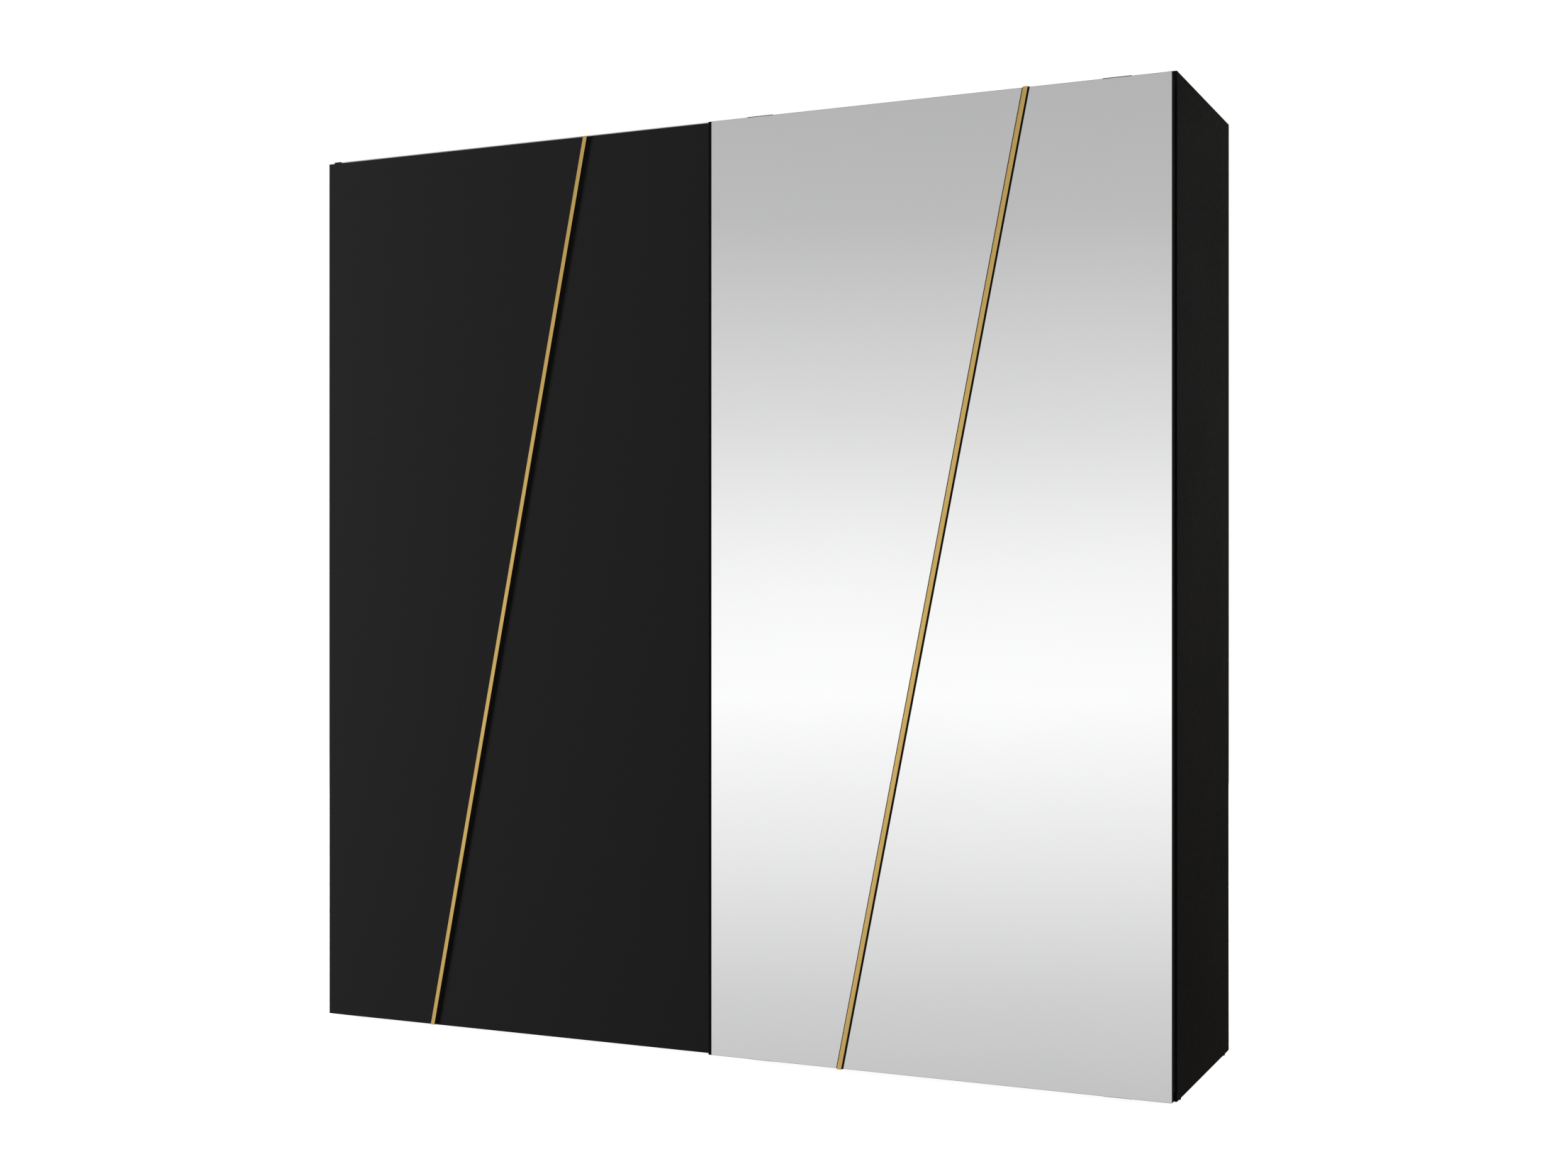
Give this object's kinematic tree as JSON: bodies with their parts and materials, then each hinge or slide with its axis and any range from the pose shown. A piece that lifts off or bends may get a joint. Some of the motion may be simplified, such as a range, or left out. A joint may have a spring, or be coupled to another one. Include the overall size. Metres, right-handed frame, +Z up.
{
  "type": "sliding door wardrobe",
  "caption": "Wide overlay sliding door wardrobe with a matte black door, a mirrored door, diagonal gold strips, and hanging and shelf space inside.",
  "frame": {"origin": "on the floor, in the middle of the overall width and depth", "axes": "+Z up, doors face -Y, +X to the right of someone facing the doors"},
  "size_m": [2.14, 0.578, 2.15],
  "materials": {
    "black_board": "satin black melamine-faced board",
    "inner_board": "anthracite melamine-faced board",
    "matt_black_door": "matte black lacquered board",
    "back_fibreboard": "painted fibreboard",
    "mirror_glass": "silvered glass",
    "gold": "satin gold anodised strip",
    "black_profile": "matte black profile",
    "seal_rubber": "matte black rubber",
    "black_steel": "black powder coat",
    "nylon": "off-white nylon",
    "zinc_steel": "zinc plated",
    "rail_aluminium": "natural anodised",
    "stop_plastic": "black plastic",
    "brush_pile": "black pile",
    "glide_plastic": "black plastic",
    "strip_plastic": "black plastic",
    "chromed_tube": "polished",
    "socket_metal": "silver painted"
  },
  "bodies": {
    "carcass": {"back_joining_strips": "strip_plastic", "back_panel_left_lower": "back_fibreboard", "back_panel_left_upper": "back_fibreboard", "back_panel_right_lower": "back_fibreboard", "back_panel_right_upper": "back_fibreboard", "bottom_panel": "black_board", "bottom_rail": "rail_aluminium", "cam_fittings": "zinc_steel", "carcass_screws": "zinc_steel", "centre_partition": "inner_board", "clothes_rail_left": "chromed_tube", "clothes_rail_right": "chromed_tube", "clothes_rail_sockets": "socket_metal", "dust_brushes": "brush_pile", "floor_glides": "glide_plastic", "front_plinth": "black_board", "rail_end_stops": "stop_plastic", "rail_screws": "zinc_steel", "rear_plinth": "black_board", "shelf_1": "inner_board", "shelf_2": "inner_board", "shelf_3": "inner_board", "shelf_divider": "inner_board", "shelf_pins": "zinc_steel", "side_panel_left": "black_board", "side_panel_right": "black_board", "top_panel": "black_board", "top_rail": "rail_aluminium", "top_shelf_left": "inner_board", "top_shelf_right": "inner_board", "wall_brackets": "zinc_steel"},
    "left_door": {"left_door_board": "matt_black_door", "left_door_edge_bands": "matt_black_door", "left_door_strip_carrier": "black_profile", "left_door_gold_strip": "gold", "left_door_hanger_left": "black_steel", "left_door_hanger_right": "black_steel", "left_door_guide_left": "black_steel", "left_door_guide_right": "black_steel", "left_door_roller_axles": "zinc_steel", "left_door_guide_shoes": "nylon", "left_door_bracket_screws": "zinc_steel"},
    "mirror_door": {"mirror_door_board": "black_board", "mirror_door_edge_bands": "black_board", "mirror_door_strip_carrier": "black_profile", "mirror_door_gold_strip": "gold", "mirror_door_hanger_left": "black_steel", "mirror_door_hanger_right": "black_steel", "mirror_door_guide_left": "black_steel", "mirror_door_guide_right": "black_steel", "mirror_door_roller_axles": "zinc_steel", "mirror_door_guide_shoes": "nylon", "mirror_door_bracket_screws": "zinc_steel", "mirror_pane_left": "mirror_glass", "mirror_pane_right": "mirror_glass", "mirror_door_edge_seal": "seal_rubber"},
    "left_door_roller_left": {"left_door_roller_left": "nylon"},
    "left_door_roller_right": {"left_door_roller_right": "nylon"},
    "mirror_door_roller_left": {"mirror_door_roller_left": "nylon"},
    "mirror_door_roller_right": {"mirror_door_roller_right": "nylon"}
  },
  "joints": [
    {"name": "left_door_slide", "type": "slide", "parent": "carcass", "child": "left_door", "axis": [1, 0, 0], "range_m": [0, 1.044]},
    {"name": "mirror_door_slide", "type": "slide", "parent": "carcass", "child": "mirror_door", "axis": [1, 0, 0], "range_m": [-1.076, 0]},
    {"name": "left_door_roller_left_turn", "type": "hinge", "parent": "left_door", "child": "left_door_roller_left", "pos_m": [-0.95, -0.222, 2.122], "axis": [0, 1, 0], "range_deg": [0, 4282.6]},
    {"name": "left_door_roller_right_turn", "type": "hinge", "parent": "left_door", "child": "left_door_roller_right", "pos_m": [-0.094, -0.222, 2.122], "axis": [0, 1, 0], "range_deg": [0, 4282.6]},
    {"name": "mirror_door_roller_left_turn", "type": "hinge", "parent": "mirror_door", "child": "mirror_door_roller_left", "pos_m": [0.126, -0.202, 2.122], "axis": [0, 1, 0], "range_deg": [-4413.6, 0]},
    {"name": "mirror_door_roller_right_turn", "type": "hinge", "parent": "mirror_door", "child": "mirror_door_roller_right", "pos_m": [0.95, -0.202, 2.122], "axis": [0, 1, 0], "range_deg": [-4413.6, 0]}
  ],
  "couplings": [
    {"joint": "left_door_roller_left_turn", "follows": "left_door_slide", "rad_per_m": 71.429},
    {"joint": "left_door_roller_right_turn", "follows": "left_door_slide", "rad_per_m": 71.429},
    {"joint": "mirror_door_roller_left_turn", "follows": "mirror_door_slide", "rad_per_m": 71.429},
    {"joint": "mirror_door_roller_right_turn", "follows": "mirror_door_slide", "rad_per_m": 71.429}
  ]
}
